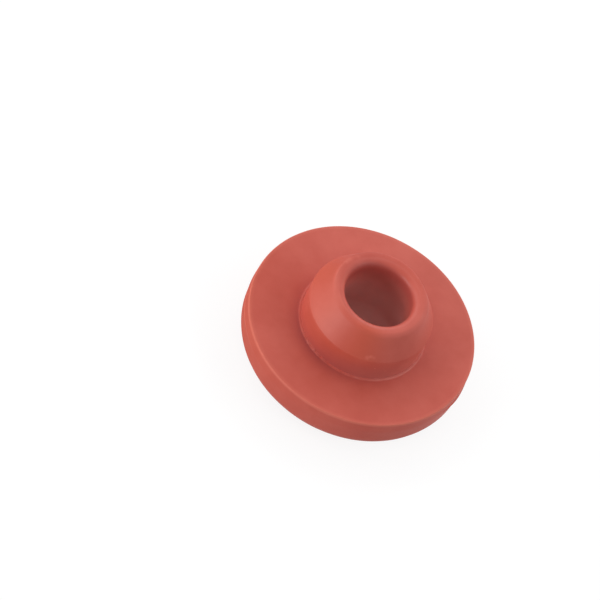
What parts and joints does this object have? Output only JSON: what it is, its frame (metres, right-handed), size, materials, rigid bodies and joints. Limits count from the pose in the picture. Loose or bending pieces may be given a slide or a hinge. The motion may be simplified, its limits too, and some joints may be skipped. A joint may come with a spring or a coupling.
{
  "type": "rubber stopper",
  "caption": "Flanged rubber stopper: a wide round head with a domed edge and a short hollow plug with a tapered nose, pushed into a bottle neck to close it.",
  "frame": {"origin": "on the axis, at the face of the low ring on the crown, which the stopper stands on head-down", "axes": "+Z along the axis of revolution, from the crown to the open end of the plug; X and Y lie in the crown's plane"},
  "size_m": [0.0354, 0.0354, 0.0154],
  "materials": {
    "moulded_rubber": "satin, brick red"
  },
  "bodies": {
    "root": {"stopper": "moulded_rubber"}
  },
  "joints": []
}
